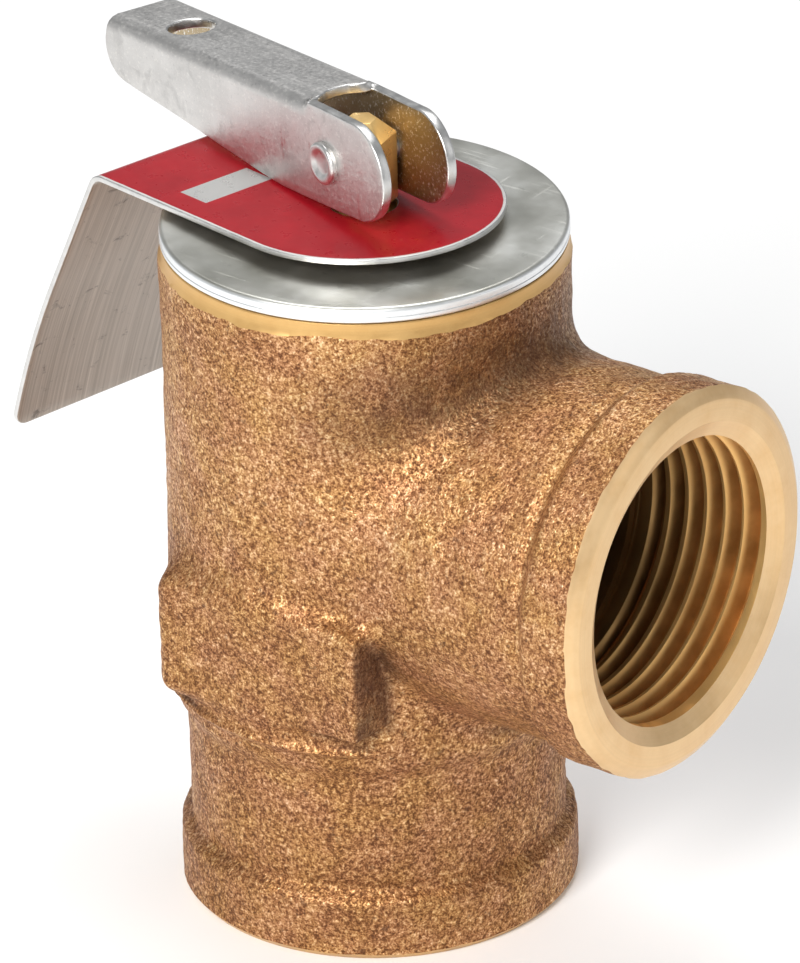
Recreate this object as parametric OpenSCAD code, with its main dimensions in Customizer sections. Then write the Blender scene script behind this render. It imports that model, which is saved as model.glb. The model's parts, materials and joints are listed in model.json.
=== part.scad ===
// Angle-pattern pressure relief valve, 3/4 inch NPT female inlet and outlet.
// Millimetres.  Origin: centre of the inlet face.  +Z runs up the stem, +X out of the outlet.

/* [Body casting] */
// Height of the machined rim that carries the cap
body_top_z = 57.15; // [50:0.05:65]
// Outside radius of the spring chamber
chamber_out_r = 16.4; // [15.9:0.1:19]
// Outside radius of the inlet neck
neck_r = 15.26; // [14.5:0.02:16]
// Outside radius of the bead around the inlet
bead_r = 16.1; // [15.4:0.1:17]
// Height of the inlet bead
bead_h = 5.0; // [3:0.1:8]
// Height at which the neck starts to flare out to the chamber
flare_z = 15.0; // [12:0.1:17]
// Length of the flare
flare_h = 4.0; // [2:0.1:5]
// Inside radius of the spring chamber
chamber_r = 13.4; // [12.4:0.1:14]
// Height of the chamber floor
floor_z = 20.0; // [18.5:0.1:21.5]

/* [Ports] */
// Radius over the crests of the pipe thread in both ports
port_r = 11.9; // [11:0.05:12.6]
// Depth of the inlet thread
inlet_depth = 14; // [11:0.5:15]
// Height of the outlet axis above the inlet face
outlet_z = 34.9; // [33:0.1:38]
// Distance of the outlet face from the stem axis
outlet_x = 31.1; // [28:0.1:36]
// Depth of the outlet thread
outlet_depth = 13.5; // [11:0.5:15]
// Outside radius of the outlet branch
branch_r = 15.25; // [14.6:0.05:16]
// Outside radius of the outlet bead
collar_r = 16.1; // [15.4:0.1:17]
// Length of the outlet bead, its back slope included
collar_len = 6.2; // [4:0.1:9]
// Radius of the countersink at the outlet face
sink_r = 13.27; // [12.6:0.01:14]

/* [Marking pad] */
// Distance of the pad's flat face from the stem axis
pad_y = 16.8; // [16.5:0.1:18]
// Left end of the pad
pad_x0 = -9.5; // [-12:0.1:-5]
// Right end of the pad
pad_x1 = 10.6; // [5:0.1:12]
// Underside of the pad
pad_z0 = 20.6; // [19:0.1:24]
// Top of the pad
pad_z1 = 31.0; // [26:0.1:34]

/* [Seat and disc] */
// Height of the seat lip
seat_z = 24.0; // [23:0.1:25]
// Radius of the waterway through the seat
seat_bore_r = 7.0; // [5.5:0.1:7.5]
// Outside radius of the seat lip
seat_lip_r = 8.3; // [8:0.1:8.8]
// Radius of the seat disc
disc_r = 8.9; // [8.9:0.05:9.2]
// Thickness of the seat disc
disc_h = 2.28; // [1.8:0.02:2.6]

/* [Spring] */
// Wire diameter
wire_d = 1.9; // [1.5:0.1:2.1]
// Mean radius of the coil
coil_r = 9.0; // [8.8:0.1:9.4]
// Number of turns, end turns included
coil_turns = 7; // [5:0.5:8]

/* [Cap and stem] */
// Outside radius of the cap
cap_r = 16.32; // [15.8:0.02:17]
// Height of the cap's top face
cap_top_z = 58.55; // [58:0.05:59]
// Thickness of the gasket under the cap
gasket_t = 0.3; // [0.2:0.05:0.5]
// Stem radius
stem_r = 2.0; // [1.8:0.05:2.2]
// Width across the flats of the lifting nut
nut_af = 4.76; // [4.4:0.02:5]
// Height of the lifting nut's top
nut_top_z = 67.3; // [66.5:0.1:68]

/* [Lever] */
// Direction of the handle about the stem, seen from above
lever_swivel = 159.3; // [120:0.1:200]
// Droop of the handle below level
lever_droop = 7.33; // [5:0.01:7.5]
// Height of the lever pin
pin_z = 64.38; // [64.3:0.01:65]
// Lever pin radius
pin_r = 1.2; // [1:0.05:1.22]
// Outside width of the channel
lever_w = 7.0; // [6.8:0.1:8]
// Sheet thickness of the lever
lever_t = 0.85; // [0.7:0.05:1]
// Distance from the pin to the tip of the handle
lever_reach = 33.1; // [28:0.1:40]

/* [Nameplate] */
// Direction of the plate about the stem, seen from above
plate_swivel = 167.5; // [150:0.1:180]
// Height of the plate's top face at the stem
plate_z = 59.85; // [59.8:0.01:59.9]
// Sheet thickness of the plate
plate_t = 0.45; // [0.3:0.05:0.5]
// Radius of the plate's round end
plate_r = 11.4; // [10:0.1:12]
// Distance from the stem to the fold
plate_fold_x = 19.0; // [18.5:0.1:22]
// Length of the straight part of the hanging flap
flap_straight = 12; // [8:0.5:16]
// Length of the curved lower part of the hanging flap
flap_curved = 15.5; // [8:0.5:18]

/* [Hidden] */

$fn = 96;
eps = 0.01;
over = 1;                   // how far a cutting tool runs past the face it cuts

// Fits
thread_gap = 0.05;          // radial gap that stands for a screwed joint
run_gap = 0.05;             // radial gap of a running shaft
seat_gap = 0.02;            // gap between the closed disc and its seat
fit_gap = 0.02;             // radial gap of a piece pressed or dropped into its bore

// Body
cap_bore_r = 14.35;
cap_bore_h = 7.0;
port_face_r = collar_r - 1.0;
face_chamfer = 0.6;
throat_r = 11.2;

// Cap
cap_rim_z = body_top_z + gasket_t;
cap_plate_z = 55.6;         // underside of the cap's plate, inside the skirt
skirt_h = 6.6;
skirt_in_r = 12.6;
bush_r = 5.0;
bush_flange_r = 7.0;
bush_flange_h = 1.0;
bush_top_z = 58.9;
gland_r = 3.9;
seal_wire_r = 0.9;

// Spring stack
shim_t = 0.5;
shim_in_r = 7.4;
seat_plate_r = 11.5;
seat_plate_t = 1.2;
spring_top_z = cap_plate_z - 2 * shim_t - seat_plate_t;
holder_top_z = 29.0;
spring_low_z = holder_top_z + seat_plate_t;
spring_in_r = coil_r - wire_d / 2;
pilot_gap = 0.25;
pilot_h = 1.4;

// Disc holder
disc_low_z = seat_z + seat_gap;
holder_plate_z = disc_low_z + disc_h;
holder_r = 10.2;
hub_r = 5.5;
hub_top_z = 35.6;
pocket_r = 3.5;
pocket_low_z = 30.6;
pocket_top_z = 33.0;
hub_thread_r = 4.6;
lug_r = 13.1;
lug_w = 3.2;
screw_r = 1.5;

// Stem
stem_low_z = 31.0;
stem_top_z = 60.1;
stem_thread_r = 1.6;
stem_thread_h = 2.5;
clip_z = 31.8;
clip_t = 0.6;
clip_r = 3.2;
clip_groove_r = 1.5;

// Lifting nut
nut_low_z = 60.15;
nut_tip_r = 1.35;

// Lever, in its own frame: X along the handle, Y across, Z up, origin at the pin
ear_r = 4.1;                // round front of the ears
ear_c = [-4.4, 0.3];        // its centre
web_h = 4.6;                // top of the channel's web
tip_r = 2.7;                // round tip of the handle
tip_c = [lever_reach - tip_r, 2.1];
belly_x = 7.0;              // where the lower edge starts to climb to the tip
web_x = 2.8;                // front edge of the web
pull_hole_r = 1.95;
pull_hole_x = 24.9;

// Nameplate, in its own frame: X to the fold, Y across, Z up, origin at its top face
plate_roll = 1.4;
plate_pitch = 2.35;
plate_half_w = 11.3;
plate_hole_r = 2.7;
fold_r = 1.2;               // inside radius of the fold
fold_turn = 62;             // how far the fold turns down
flap_turn = 11;             // how far the curved part of the flap turns in again
arc_steps = 10;

bronze = "#a8794c";
brass = "#c9a455";
zinc = "#b9c0bf";
steel = "#b5b2ab";

// A tube along Z
module tube(r_out, r_in, h) {
    difference() {
        cylinder(r = r_out, h = h);
        translate([0, 0, -over]) cylinder(r = r_in, h = h + 2 * over);
    }
}

module along_outlet() {
    translate([0, 0, outlet_z]) rotate([0, 90, 0]) children();
}

module in_lever_frame() {
    translate([0, 0, pin_z]) rotate([0, lever_droop, lever_swivel]) children();
}

module in_plate_frame() {
    translate([0, 0, plate_z]) rotate([plate_roll, plate_pitch, plate_swivel]) children();
}

// A pin-shaped tool across the lever, from y0 to y1 in the lever's frame
module across(r, y0, y1) {
    translate([0, y1, 0]) rotate([90, 0, 0]) cylinder(r = r, h = y1 - y0);
}

// ---- Body ----

module casting_barrel() {
    rotate_extrude() polygon([
        [0, 0], [bead_r - 0.5, 0], [bead_r, 0.5], [bead_r, bead_h],
        [neck_r, bead_h + 2.6], [neck_r, flare_z], [chamber_out_r - 0.15, flare_z + flare_h],
        [chamber_out_r, body_top_z], [0, body_top_z]
    ]);
}

module outlet_branch() {
    collar_x = outlet_x - collar_len;
    along_outlet() rotate_extrude() polygon([
        [0, 0], [branch_r, 0], [branch_r, collar_x], [collar_r, collar_x + 2.2],
        [collar_r, outlet_x - face_chamfer], [port_face_r, outlet_x], [0, outlet_x]
    ]);
}

module marking_pad() {
    translate([pad_x0, -pad_y, pad_z0]) cube([pad_x1 - pad_x0, pad_y, pad_z1 - pad_z0]);
}

module body_bores() {
    translate([0, 0, -over]) cylinder(r = port_r, h = inlet_depth + over);
    translate([0, 0, inlet_depth - eps]) cylinder(r1 = 10, r2 = seat_bore_r, h = 3);
    cylinder(r = seat_bore_r, h = floor_z + over);
    translate([0, 0, floor_z]) cylinder(r = chamber_r, h = body_top_z);
    translate([0, 0, body_top_z - cap_bore_h]) cylinder(r = cap_bore_r, h = cap_bore_h + over);
    along_outlet() {
        translate([0, 0, 5]) cylinder(r = throat_r, h = outlet_x);
        translate([0, 0, outlet_x - outlet_depth]) cylinder(r = port_r, h = outlet_depth + over);
        translate([0, 0, outlet_x - (sink_r - port_r)])
            cylinder(r1 = port_r, r2 = sink_r + over, h = sink_r - port_r + over);
    }
}

module seat_nozzle() {
    rotate_extrude() polygon([
        [seat_bore_r, floor_z - over], [seat_lip_r + 1.4, floor_z - over],
        [seat_lip_r + 1.4, floor_z], [seat_lip_r + 0.7, seat_z - 1.2], [seat_lip_r, seat_z],
        [seat_bore_r, seat_z]
    ]);
}

module valve_body() {
    color(bronze) {
        difference() {
            union() {
                casting_barrel();
                outlet_branch();
                marking_pad();
            }
            body_bores();
        }
        seat_nozzle();
    }
}

// ---- Cap and what it holds ----

module spring_cap() {
    rim = 0.45;
    color(zinc) rotate_extrude() polygon([
        [bush_r + fit_gap, cap_plate_z], [skirt_in_r, cap_plate_z],
        [skirt_in_r, cap_rim_z - skirt_h], [cap_bore_r - thread_gap, cap_rim_z - skirt_h],
        [cap_bore_r - thread_gap, cap_rim_z], [cap_r - 0.1, cap_rim_z], [cap_r, cap_rim_z + 0.1],
        [cap_r, cap_top_z - rim], [cap_r - rim * 0.3, cap_top_z - rim * 0.3],
        [cap_r - rim, cap_top_z], [bush_r + fit_gap, cap_top_z]
    ]);
}

module cap_gasket() {
    color("#4a4a44") translate([0, 0, body_top_z])
        tube(chamber_out_r - 0.6, cap_bore_r + 0.1, gasket_t);
}

module guide_bushing() {
    low = cap_plate_z - bush_flange_h;
    color(brass) rotate_extrude() polygon([
        [gland_r, low], [bush_flange_r, low], [bush_flange_r, cap_plate_z],
        [bush_r, cap_plate_z], [bush_r, bush_top_z - 0.3], [bush_r - 0.3, bush_top_z],
        [stem_r + run_gap, bush_top_z], [stem_r + run_gap, low + 2.4], [gland_r, low + 2.4]
    ]);
}

module stem_seal() {
    color("#222222") translate([0, 0, cap_plate_z + 0.45]) rotate_extrude()
        translate([stem_r + run_gap + seal_wire_r, 0]) circle(r = seal_wire_r, $fn = 32);
}

module seal_retainer() {
    color(steel) translate([0, 0, cap_plate_z - bush_flange_h])
        tube(gland_r - fit_gap, stem_r + 0.25, 0.5);
}

module calibration_shims() {
    color(steel) for (i = [1, 2]) translate([0, 0, cap_plate_z - i * shim_t])
        tube(seat_plate_r, shim_in_r, shim_t - eps);
}

module upper_spring_seat() {
    color(steel) rotate_extrude() polygon([
        [shim_in_r - 0.7, spring_top_z - pilot_h], [spring_in_r - pilot_gap, spring_top_z - pilot_h],
        [spring_in_r - pilot_gap, spring_top_z], [seat_plate_r, spring_top_z],
        [seat_plate_r, spring_top_z + seat_plate_t - eps],
        [shim_in_r - 0.7, spring_top_z + seat_plate_t - eps]
    ]);
}

// ---- Spring: a helix with closed end turns ----

function coil_z(turn) =
    let (closed = 0.8, end_pitch = wire_d * 1.06, low = spring_low_z + wire_d / 2,
         high = spring_top_z - wire_d / 2, live = coil_turns - 2 * closed,
         step = (high - low - 2 * closed * end_pitch) / live)
    turn < closed ? low + turn * end_pitch
    : turn > coil_turns - closed ? high - (coil_turns - turn) * end_pitch
    : low + closed * end_pitch + (turn - closed) * step;

module spring() {
    sides = 8;
    per_turn = 22;
    rings = coil_turns * per_turn;
    points = [for (i = [0:rings]) let (a = 360 * i / per_turn, z = coil_z(i / per_turn))
        for (k = [0:sides - 1]) let (b = 360 * k / sides, r = coil_r + cos(b) * wire_d / 2)
            [r * cos(a), r * sin(a), z + sin(b) * wire_d / 2]];
    side_faces = [for (i = [0:rings - 1], k = [0:sides - 1])
        let (n = (k + 1) % sides, a = i * sides, b = (i + 1) * sides) [a + k, b + k, b + n, a + n]];
    end_faces = [[for (k = [0:sides - 1]) k], [for (k = [sides - 1:-1:0]) rings * sides + k]];
    color(steel) polyhedron(points, concat(side_faces, end_faces), convexity = 10);
}

// ---- Disc and holder ----

module lower_spring_seat() {
    in_r = hub_r + 0.1;
    color(steel) rotate_extrude() polygon([
        [in_r, holder_top_z + eps], [seat_plate_r, holder_top_z + eps],
        [seat_plate_r, spring_low_z], [spring_in_r - pilot_gap, spring_low_z],
        [spring_in_r - pilot_gap, spring_low_z + pilot_h], [in_r, spring_low_z + pilot_h]
    ]);
}

module disc_holder() {
    color(brass) {
        rotate_extrude() polygon([
            [screw_r + thread_gap, holder_plate_z], [disc_r + 0.05, holder_plate_z],
            [disc_r + 0.05, disc_low_z + 0.5], [holder_r, disc_low_z + 0.5],
            [holder_r, holder_top_z], [hub_r, holder_top_z], [hub_r, hub_top_z],
            [hub_thread_r, hub_top_z], [hub_thread_r, pocket_top_z], [pocket_r, pocket_top_z],
            [pocket_r, pocket_low_z], [screw_r + thread_gap, pocket_low_z]
        ]);
        for (a = [45:90:315]) rotate([0, 0, a]) intersection() {
            translate([holder_r - 1, -lug_w / 2, holder_plate_z + 0.4])
                cube([lug_r, lug_w, holder_top_z - holder_plate_z - 0.4]);
            cylinder(r = lug_r, h = body_top_z);
        }
    }
}

module seat_disc() {
    color("#b5482e") translate([0, 0, disc_low_z]) tube(disc_r, screw_r + 0.15, disc_h - eps);
}

module disc_washer() {
    color(steel) translate([0, 0, disc_low_z - 0.8]) tube(5, screw_r + 0.1, 0.8 - eps);
}

module disc_screw() {
    head_h = 1.8;
    head_z = disc_low_z - 0.8 - head_h;
    color(steel) difference() {
        union() {
            translate([0, 0, head_z]) cylinder(r = 2.75, h = head_h - eps);
            translate([0, 0, head_z]) cylinder(r = screw_r, h = pocket_low_z - 0.4 - head_z);
        }
        translate([-4, -0.4, head_z - over]) cube([8, 0.8, over + 0.9]);
    }
}

module stem_retainer() {
    color(brass) difference() {
        translate([0, 0, pocket_top_z + eps])
            tube(hub_thread_r - thread_gap, stem_r + 0.08, hub_top_z - 0.2 - pocket_top_z);
        translate([-6, -0.5, hub_top_z - 1]) cube([12, 1, 2]);
    }
}

module stem_clip() {
    color("#55565a") translate([0, 0, clip_z]) difference() {
        tube(clip_r, clip_groove_r + fit_gap, clip_t - 2 * eps);
        translate([0, -1.1, -over]) cube([5, 2.2, 3]);
    }
}

// ---- Stem, lifting nut and lever ----

module stem() {
    color(brass) difference() {
        union() {
            translate([0, 0, stem_low_z]) cylinder(r = stem_r, h = stem_top_z - stem_low_z);
            translate([0, 0, stem_top_z - eps]) cylinder(r = stem_thread_r, h = stem_thread_h);
        }
        translate([0, 0, clip_z - eps]) tube(stem_r + over, clip_groove_r, clip_t);
    }
}

module lifting_nut() {
    corner_r = nut_af / 2 / cos(30);
    cone_h = corner_r - nut_tip_r;
    color(brass) difference() {
        rotate([0, 0, lever_swivel]) intersection() {
            translate([0, 0, nut_low_z])
                cylinder(r = corner_r, h = nut_top_z - nut_low_z, $fn = 6);
            rotate_extrude() polygon([
                [0, nut_low_z], [corner_r, nut_low_z], [corner_r, nut_top_z - cone_h],
                [nut_tip_r, nut_top_z], [0, nut_top_z]
            ]);
        }
        translate([0, 0, nut_low_z - over])
            cylinder(r = stem_thread_r + 0.02, h = over + stem_thread_h + 0.05);
        in_lever_frame() across(pin_r + run_gap, -corner_r - over, corner_r + over);
    }
}

module lever_outline() {
    climb = 7.8;
    difference() {
        union() {
            translate(ear_c) circle(r = ear_r);
            translate(tip_c) circle(r = tip_r);
            polygon([
                [ear_c[0], ear_c[1] - ear_r], [belly_x, ear_c[1] - ear_r],
                tip_c + tip_r * [sin(climb), -cos(climb)], [tip_c[0], web_h],
                [web_x, web_h], [ear_c[0], ear_c[1] + ear_r]
            ]);
        }
        translate([0, web_h]) square([lever_reach + over, 5]);
    }
}

module lever() {
    half = lever_w / 2;
    gap = half - lever_t;
    color(steel) in_lever_frame() difference() {
        translate([0, half, 0]) rotate([90, 0, 0]) linear_extrude(lever_w) lever_outline();
        translate([-20, -gap, -20]) cube([20 + lever_reach + 1, 2 * gap, 20 + web_h - lever_t]);
        translate([-20, -gap, -20]) cube([20 + web_x, 2 * gap, 40]);
        translate([pull_hole_x, 0, 0]) cylinder(r = pull_hole_r, h = 10);
        across(pin_r + fit_gap, -half - over, half + over);
    }
}

module lever_pin() {
    half = lever_w / 2;
    color("#c8c8c6") in_lever_frame() difference() {
        union() {
            across(pin_r, -half - 0.3, half + 0.3);
            across(1.9, half, half + 0.55);
            across(1.75, -half - 0.5, -half);
        }
        across(1.3, half + 0.2, half + 2);
    }
}

// ---- Nameplate: flat sheet, a fold and a curved flap ----

// Middle line of the bent sheet as [x, z, heading], the heading in degrees below level
function fold_point(k) =
    let (a = fold_turn * k / arc_steps, r = fold_r + plate_t / 2)
    [plate_fold_x + r * sin(a), -plate_t / 2 - r * (1 - cos(a)), a];

function flap_point(k) =
    let (start = fold_point(arc_steps), a = start[2] + flap_turn * k / arc_steps,
         r = flap_curved / flap_turn * 180 / PI,
         knee = [start[0] + flap_straight * cos(start[2]), start[1] - flap_straight * sin(start[2])])
    [knee[0] + r * (sin(a) - sin(start[2])), knee[1] + r * (cos(a) - cos(start[2])), a];

module flap_section() {
    line = concat([for (k = [0:arc_steps]) fold_point(k)], [for (k = [0:arc_steps]) flap_point(k)]);
    outer = [for (p = line) [p[0] + sin(p[2]) * plate_t / 2, p[1] + cos(p[2]) * plate_t / 2]];
    inner = [for (i = [len(line) - 1:-1:0]) let (p = line[i])
        [p[0] - sin(p[2]) * plate_t / 2, p[1] - cos(p[2]) * plate_t / 2]];
    start = [[plate_fold_x - 0.5, -plate_t], [plate_fold_x - 0.5, 0]];
    polygon(concat(start, outer, inner));
}

module nameplate() {
    color("#b3202c") in_plate_frame() {
        translate([0, 0, -plate_t]) linear_extrude(plate_t) difference() {
            union() {
                circle(r = plate_r);
                translate([0, -plate_half_w]) square([plate_fold_x, 2 * plate_half_w]);
            }
            circle(r = plate_hole_r);
        }
        translate([0, plate_half_w, 0]) rotate([90, 0, 0])
            linear_extrude(2 * plate_half_w) flap_section();
    }
}

valve_body();
spring_cap();
cap_gasket();
guide_bushing();
stem_seal();
seal_retainer();
calibration_shims();
upper_spring_seat();
spring();
lower_spring_seat();
disc_holder();
seat_disc();
disc_washer();
disc_screw();
stem_retainer();
stem_clip();
stem();
lifting_nut();
lever();
lever_pin();
nameplate();
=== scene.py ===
"""Looks of an angle pressure relief valve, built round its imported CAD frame.

Lengths in the shape code are millimetres; MM turns them into Blender's metres.
"""
import json
import math

import bpy
import bmesh
import numpy as np
from mathutils import Matrix, Vector
from mathutils.geometry import delaunay_2d_cdt


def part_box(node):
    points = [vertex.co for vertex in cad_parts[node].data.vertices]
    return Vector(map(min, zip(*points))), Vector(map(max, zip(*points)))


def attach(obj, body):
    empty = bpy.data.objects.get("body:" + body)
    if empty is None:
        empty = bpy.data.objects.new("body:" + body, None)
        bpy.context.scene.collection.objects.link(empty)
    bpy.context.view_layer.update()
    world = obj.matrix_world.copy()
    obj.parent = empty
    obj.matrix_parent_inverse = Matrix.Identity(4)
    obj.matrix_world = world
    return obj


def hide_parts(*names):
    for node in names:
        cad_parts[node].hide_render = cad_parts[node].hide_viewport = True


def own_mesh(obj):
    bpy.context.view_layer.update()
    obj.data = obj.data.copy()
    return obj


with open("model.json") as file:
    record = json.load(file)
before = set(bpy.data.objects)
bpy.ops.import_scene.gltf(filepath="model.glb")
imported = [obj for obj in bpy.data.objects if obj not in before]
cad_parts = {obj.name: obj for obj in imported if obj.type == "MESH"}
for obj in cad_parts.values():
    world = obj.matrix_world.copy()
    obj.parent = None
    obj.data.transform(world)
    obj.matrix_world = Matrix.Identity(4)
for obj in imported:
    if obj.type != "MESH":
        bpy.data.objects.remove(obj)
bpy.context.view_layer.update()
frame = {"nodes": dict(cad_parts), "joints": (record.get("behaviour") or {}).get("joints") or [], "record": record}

MM = 0.001
TAU = 2 * math.pi


# ---------------------------------------------------------------- frame values

def mm_box(node):
    """Lowest and highest corner of a CAD node, in millimetres."""
    low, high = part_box(node)
    return np.array(low) / MM, np.array(high) / MM


mounts = {m["name"]: m for m in frame["record"]["mounts"]}
joints = {j["name"]: j for j in frame["joints"]}

_, body_high = mm_box("valve_body")
cap_low, cap_high = mm_box("spring_cap")
nut_low, nut_high = mm_box("lifting_nut")
outlet_z = mounts["outlet_port"]["pos_m"][2] / MM
port_r = mounts["outlet_port"]["dims"]["r_mm"]
pull_r = mounts["pull_hole"]["dims"]["r_mm"]
face_x = body_high[0]
rim_z = body_high[2]
pin_z = joints["lever_hinge"]["pos_m"][2] / MM
pin_axis = joints["lever_hinge"]["axis"]

LEVER_SWIVEL = math.degrees(math.atan2(pin_axis[0], -pin_axis[1]))
LEVER_DROOP = 7.33                  # degrees that the handle hangs below level at rest
PLATE_TURN = (1.4, 2.35, 167.5)     # roll, pitch and swivel in degrees
PLATE_Z = 59.85                     # height of the nameplate's upper face at the stem


# ---------------------------------------------------------------- mesh helpers

def add_object(name, data):
    """A new object in the scene."""
    made = bpy.data.objects.new(name, data)
    bpy.context.scene.collection.objects.link(made)
    return made


def mm_mesh(name, verts, faces):
    """A new mesh from vertices in millimetres."""
    mesh = bpy.data.meshes.new(name)
    mesh.from_pydata((np.asarray(verts, float) * MM).tolist(), [], [list(f) for f in faces])
    return mesh


def new_piece(name, verts, faces, body, node, mats, frame_of=None, angle=35.0):
    """A mesh piece from millimetre vertices, riding on a body in place of a CAD node."""
    mesh = mm_mesh(name, verts, faces)
    mesh.validate()
    for m in mats:
        mesh.materials.append(m)
    piece = add_object(name, mesh)
    smooth(mesh, angle)
    if frame_of is not None:
        piece.matrix_world = frame_of
    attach(piece, body)
    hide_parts(node)
    return piece


def smooth(mesh, angle):
    """Smooth shading, with edges sharper than the angle kept sharp."""
    mesh.polygons.foreach_set("use_smooth", [True] * len(mesh.polygons))
    mesh.set_sharp_from_angle(angle=math.radians(angle))
    mesh.update()


def grid_faces(rows, columns, wrap_rows=False, wrap_columns=False):
    """Quads over a grid of points that is held row by row."""
    return [(i * columns + k, (i + 1) % rows * columns + k,
             (i + 1) % rows * columns + (k + 1) % columns, i * columns + (k + 1) % columns)
            for i in range(rows if wrap_rows else rows - 1)
            for k in range(columns if wrap_columns else columns - 1)]


def revolve(profile, sides):
    """Closed solid from (r, z) points that start and end on the axis."""
    pts = np.asarray(profile, float)
    on_axis = pts[:, 0] < 1e-9
    verts, index = [], []
    ang = np.arange(sides) * TAU / sides
    for (r, z), axis in zip(pts, on_axis):
        index.append(len(verts))
        if axis:
            verts.append((0, 0, z))
        else:
            verts.extend(zip(r * np.cos(ang), r * np.sin(ang), np.full(sides, z)))
    faces = []
    for a in range(len(pts) - 1):
        ia, ib = index[a], index[a + 1]
        if on_axis[a] and on_axis[a + 1]:
            continue
        for k in range(sides):
            n = (k + 1) % sides
            if on_axis[a]:
                faces.append((ia, ib + n, ib + k))
            elif on_axis[a + 1]:
                faces.append((ia + k, ia + n, ib))
            else:
                faces.append((ia + k, ia + n, ib + n, ib + k))
    return np.array(verts), faces


def revolve_ring(profile, sides):
    """Closed solid of revolution from a loop of (r, z) points that never meets the axis."""
    pts = np.asarray(profile, float)
    ang = np.arange(sides) * TAU / sides
    verts = np.concatenate([np.stack([pts[:, 0] * c, pts[:, 0] * s, pts[:, 1]], 1)
                            for c, s in zip(np.cos(ang), np.sin(ang))])
    return verts, grid_faces(sides, len(pts), True, True)


def arc(cx, cz, r, a0, a1, steps):
    """Points of a circle's arc, angles in degrees."""
    t = np.radians(np.linspace(a0, a1, steps + 1))
    return [(cx + r * math.cos(a), cz + r * math.sin(a)) for a in t]


def cut(piece, tools):
    """Subtracts each (slot number, verts, faces) solid from a piece for good.

    The faces that a solid leaves take its slot."""
    bpy.context.view_layer.update()
    for slot, verts, faces in tools:
        mesh = mm_mesh("tool", verts, faces)
        for m in piece.data.materials:
            mesh.materials.append(m)
        mesh.polygons.foreach_set("material_index", [slot] * len(mesh.polygons))
        bm = bmesh.new()
        bm.from_mesh(mesh)
        bmesh.ops.remove_doubles(bm, verts=bm.verts, dist=1e-7)
        bmesh.ops.dissolve_degenerate(bm, edges=bm.edges, dist=1e-7)
        bmesh.ops.holes_fill(bm, edges=[e for e in bm.edges if e.is_boundary], sides=0)
        bmesh.ops.recalc_face_normals(bm, faces=bm.faces)
        bm.to_mesh(mesh)
        bm.free()
        tool = add_object("tool", mesh)
        tool.matrix_world = piece.matrix_world
        mod = piece.modifiers.new("cut", "BOOLEAN")
        mod.operation = "DIFFERENCE"
        mod.solver = "MANIFOLD"
        mod.object = tool
        bpy.context.view_layer.update()
        done = bpy.data.meshes.new_from_object(piece.evaluated_get(bpy.context.evaluated_depsgraph_get()))
        piece.modifiers.clear()
        old = piece.data
        done.name = old.name
        piece.data = done
        bpy.data.meshes.remove(old)
        bpy.data.objects.remove(tool)
        bpy.data.meshes.remove(mesh)


# ---------------------------------------------------------------- casting: a sampled distance field

def lattice_noise(p, size, seed):
    """Smooth noise in -1..1 at points p, with features of about the given size.

    The large numbers are primes that scatter the lattice points."""
    q = p / size + 1000.0
    cell = np.floor(q).astype(np.int64)
    t = q - cell
    t = t * t * (3 - 2 * t)
    total = np.zeros(len(p))
    for dx in (0, 1):
        for dy in (0, 1):
            for dz in (0, 1):
                x, y, z = (cell + (dx, dy, dz)).T
                h = x * 73856093 ^ y * 19349663 ^ z * 83492791 ^ seed
                h = (h ^ (h >> 13)) * 1274126177 & 0x7FFFFFFF
                h = (h ^ (h >> 15)) & 0xFFFF
                w = np.abs(1 - dx - t[:, 0]) * np.abs(1 - dy - t[:, 1]) * np.abs(1 - dz - t[:, 2])
                total += w * (h / 32767.5 - 1)
    return total


def soft_min(a, b, k):
    """Union of two distance fields with a fillet of about k."""
    h = np.clip(0.5 + 0.5 * (b - a) / k, 0, 1)
    return b + (a - b) * h - k * h * (1 - h)


def soft_max(a, b, k):
    """Intersection of two distance fields, rounded by about k."""
    return -soft_min(-a, -b, k)


def ease(x, a, b):
    """Rises smoothly from 0 at a to 1 at b."""
    t = np.clip((x - a) / (b - a), 0, 1)
    return t * t * (3 - 2 * t)


def dip(x, at, width):
    """A smooth rise to 1 about a place; subtracted from a radius, it is a groove."""
    return np.exp(-((x - at) / width) ** 2)


RELIEF = "relief"      # name of the mesh attribute that is above 0 in creases and below 0 along edges
BEAD_R, NECK_STEP, FLARE_STEP = 16.1, 0.85, 1.15
BARREL_R = BEAD_R - NECK_STEP + FLARE_STEP
TUBE_R = 15.2
SPARE = 0.3            # metal left on the inlet's face for the facing cut

# marking pad: half sizes and middle
PAD_HALF = np.array([10.05, 9.0, 5.2])
PAD_MID = np.array([0.55, -7.8, 25.8])
PAD_END = PAD_MID[0] + PAD_HALF[0]


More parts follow.
